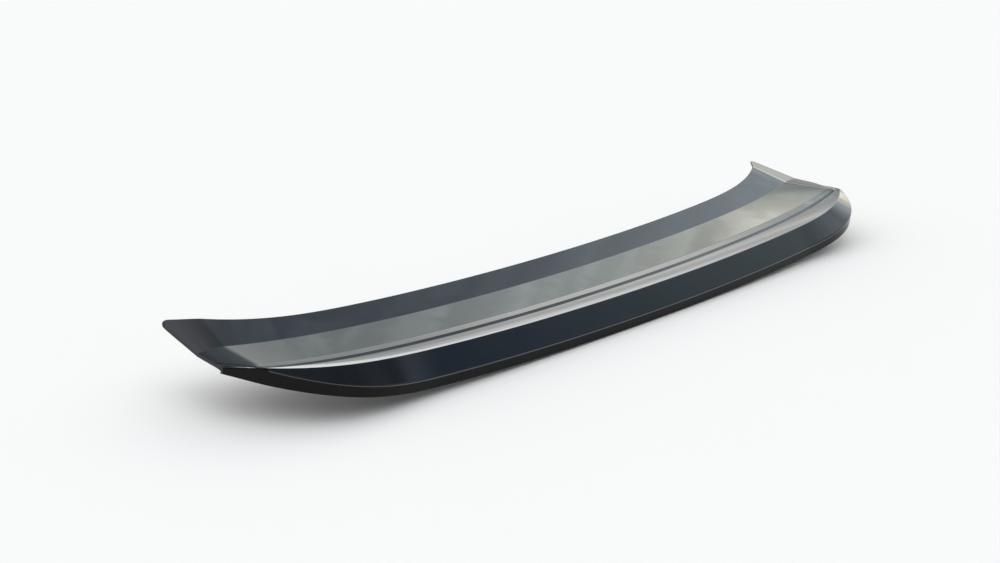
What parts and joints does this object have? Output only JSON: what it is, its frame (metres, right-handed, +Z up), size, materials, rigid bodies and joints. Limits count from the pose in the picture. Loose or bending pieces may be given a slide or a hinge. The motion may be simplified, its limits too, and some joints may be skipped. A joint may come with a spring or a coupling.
{
  "type": "lip spoiler",
  "caption": "Gloss black moulded car lip: a long thin shell, open below, with a valley, a bead, a bevel and a hooked trailing wall, bonded over a body panel's edge.",
  "frame": {"origin": "on the mid plane, on the underside of the valley crease, where the shell seats on the car's panel", "axes": "+X across the car along the length of the lip, +Y towards the leading edge, +Z up out of the deck"},
  "size_m": [1.096, 0.2383, 0.0749],
  "materials": {
    "gloss_abs": "moulded ABS, gloss black"
  },
  "bodies": {
    "root": {"lip_shell": "gloss_abs"}
  },
  "joints": []
}
